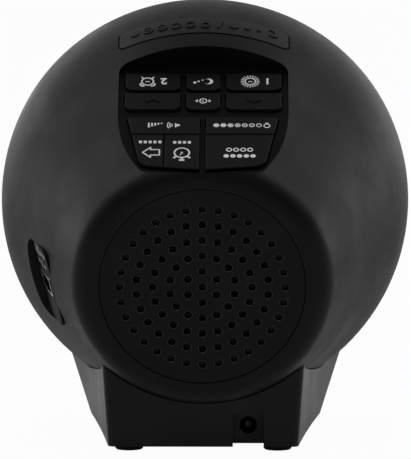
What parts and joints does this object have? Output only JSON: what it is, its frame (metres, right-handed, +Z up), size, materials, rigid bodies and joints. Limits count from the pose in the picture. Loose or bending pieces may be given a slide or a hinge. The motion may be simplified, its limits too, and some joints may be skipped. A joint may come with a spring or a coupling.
{
  "type": "bedside alarm clock",
  "caption": "Ball-shaped bedside alarm clock on a wedge foot, with a domed lit face, a sloping keypad, a snooze bar, a round speaker grille and a side charging socket.",
  "frame": {"origin": "on the desk under the middle of the clock, midway between its front and rear ends", "axes": "+Z up, the domed face looks along -Y, the speaker grille along +Y, the side socket is on +X"},
  "size_m": [0.1404, 0.1394, 0.1487],
  "materials": {
    "shell_plastic": "soft-touch black, very fine grain",
    "panel_plastic": "black, matt",
    "key_plastic": "black, matt, with white printed symbols",
    "grille_plastic": "black, matt",
    "lens_plastic": "smoked, translucent, polished outside",
    "white_plastic": "white, matt",
    "black_plastic": "black, satin",
    "silicone": "dark grey silicone",
    "foot_rubber": "black, matt",
    "circuit_board": "green solder resist on glass-fibre board",
    "grille_cloth": "black open weave",
    "cone_paper": "black pressed paper",
    "speaker_steel": "zinc-plated pressed sheet",
    "magnet": "dark ferrite",
    "bright_metal": "nickel plated",
    "screw_steel": "blackened steel"
  },
  "bodies": {
    "clock": {"rear_housing": "shell_plastic", "base_shell": "shell_plastic", "front_bezel": "shell_plastic", "control_panel": "panel_plastic", "socket_panel": "panel_plastic", "base_plate": "panel_plastic", "speaker_grille": "grille_plastic", "front_lens": "lens_plastic", "light_reflector": "white_plastic", "mood_lights": "white_plastic", "battery_holder": "white_plastic", "display_bracket": "black_plastic", "dc_jack": "black_plastic", "display_digits": "black_plastic", "usb_tongue": "black_plastic", "board_parts": "black_plastic", "keypad_mat": "silicone", "snooze_pad": "silicone", "speaker_surround": "silicone", "speaker_gasket": "silicone", "rubber_feet": "foot_rubber", "key_board": "circuit_board", "snooze_board": "circuit_board", "display_board": "circuit_board", "light_board": "circuit_board", "main_board": "circuit_board", "power_board": "circuit_board", "port_board": "circuit_board", "grille_cloth": "grille_cloth", "speaker_basket": "speaker_steel", "speaker_yoke": "speaker_steel", "speaker_magnet": "magnet", "usb_socket": "bright_metal", "jack_pin": "bright_metal", "cell_contact": "bright_metal", "coin_cell": "bright_metal", "key_board_screws": "screw_steel", "snooze_screws": "screw_steel", "reflector_screws": "screw_steel", "main_board_screws": "screw_steel", "speaker_screws": "screw_steel", "base_screws": "screw_steel", "tie_screws": "screw_steel"},
    "alarm_two_key": {"alarm_two_key": "key_plastic"},
    "nap_key": {"nap_key": "key_plastic"},
    "alarm_one_key": {"alarm_one_key": "key_plastic"},
    "down_key": {"down_key": "key_plastic"},
    "set_key": {"set_key": "key_plastic"},
    "up_key": {"up_key": "key_plastic"},
    "sound_key": {"sound_key": "key_plastic"},
    "select_key": {"select_key": "key_plastic"},
    "timer_key": {"timer_key": "key_plastic"},
    "light_key": {"light_key": "key_plastic"},
    "colour_key": {"colour_key": "key_plastic"},
    "snooze_bar": {"snooze_bar": "key_plastic"},
    "speaker_cone": {"speaker_cone": "cone_paper"},
    "battery_door": {"battery_door": "panel_plastic"}
  },
  "joints": [
    {"name": "alarm_two_key_press", "type": "slide", "parent": "clock", "child": "alarm_two_key", "axis": [0, -0.5592, -0.829], "range_m": [0, 0.0006], "stiffness_N_per_m": 3000, "springref_m": -0.0002, "deforming": ["keypad_mat"]},
    {"name": "nap_key_press", "type": "slide", "parent": "clock", "child": "nap_key", "axis": [0, -0.5592, -0.829], "range_m": [0, 0.0006], "stiffness_N_per_m": 3000, "springref_m": -0.0002, "deforming": ["keypad_mat"]},
    {"name": "alarm_one_key_press", "type": "slide", "parent": "clock", "child": "alarm_one_key", "axis": [0, -0.5592, -0.829], "range_m": [0, 0.0006], "stiffness_N_per_m": 3000, "springref_m": -0.0002, "deforming": ["keypad_mat"]},
    {"name": "down_key_press", "type": "slide", "parent": "clock", "child": "down_key", "axis": [0, -0.5592, -0.829], "range_m": [0, 0.0006], "stiffness_N_per_m": 3000, "springref_m": -0.0002, "deforming": ["keypad_mat"]},
    {"name": "set_key_press", "type": "slide", "parent": "clock", "child": "set_key", "axis": [0, -0.5592, -0.829], "range_m": [0, 0.0006], "stiffness_N_per_m": 3000, "springref_m": -0.0002, "deforming": ["keypad_mat"]},
    {"name": "up_key_press", "type": "slide", "parent": "clock", "child": "up_key", "axis": [0, -0.5592, -0.829], "range_m": [0, 0.0006], "stiffness_N_per_m": 3000, "springref_m": -0.0002, "deforming": ["keypad_mat"]},
    {"name": "sound_key_press", "type": "slide", "parent": "clock", "child": "sound_key", "axis": [0, -0.5592, -0.829], "range_m": [0, 0.0006], "stiffness_N_per_m": 3000, "springref_m": -0.0002, "deforming": ["keypad_mat"]},
    {"name": "select_key_press", "type": "slide", "parent": "clock", "child": "select_key", "axis": [0, -0.5592, -0.829], "range_m": [0, 0.0006], "stiffness_N_per_m": 3000, "springref_m": -0.0002, "deforming": ["keypad_mat"]},
    {"name": "timer_key_press", "type": "slide", "parent": "clock", "child": "timer_key", "axis": [0, -0.5592, -0.829], "range_m": [0, 0.0006], "stiffness_N_per_m": 3000, "springref_m": -0.0002, "deforming": ["keypad_mat"]},
    {"name": "light_key_press", "type": "slide", "parent": "clock", "child": "light_key", "axis": [0, -0.5592, -0.829], "range_m": [0, 0.0006], "stiffness_N_per_m": 3000, "springref_m": -0.0002, "deforming": ["keypad_mat"]},
    {"name": "colour_key_press", "type": "slide", "parent": "clock", "child": "colour_key", "axis": [0, -0.5592, -0.829], "range_m": [0, 0.0006], "stiffness_N_per_m": 3000, "springref_m": -0.0002, "deforming": ["keypad_mat"]},
    {"name": "snooze_press", "type": "slide", "parent": "clock", "child": "snooze_bar", "axis": [0, -0.4648, -0.8854], "range_m": [0, 0.0008], "stiffness_N_per_m": 3000, "springref_m": -0.0003, "deforming": ["snooze_pad"]},
    {"name": "cone_travel", "type": "slide", "parent": "clock", "child": "speaker_cone", "axis": [0, 0.9703, -0.2419], "range_m": [-0.0008, 0.0008], "stiffness_N_per_m": 1500, "deforming": ["speaker_surround"]},
    {"name": "battery_door_lift", "type": "slide", "parent": "clock", "child": "battery_door", "axis": [0, 0, -1], "range_m": [0, 0.012]}
  ]
}
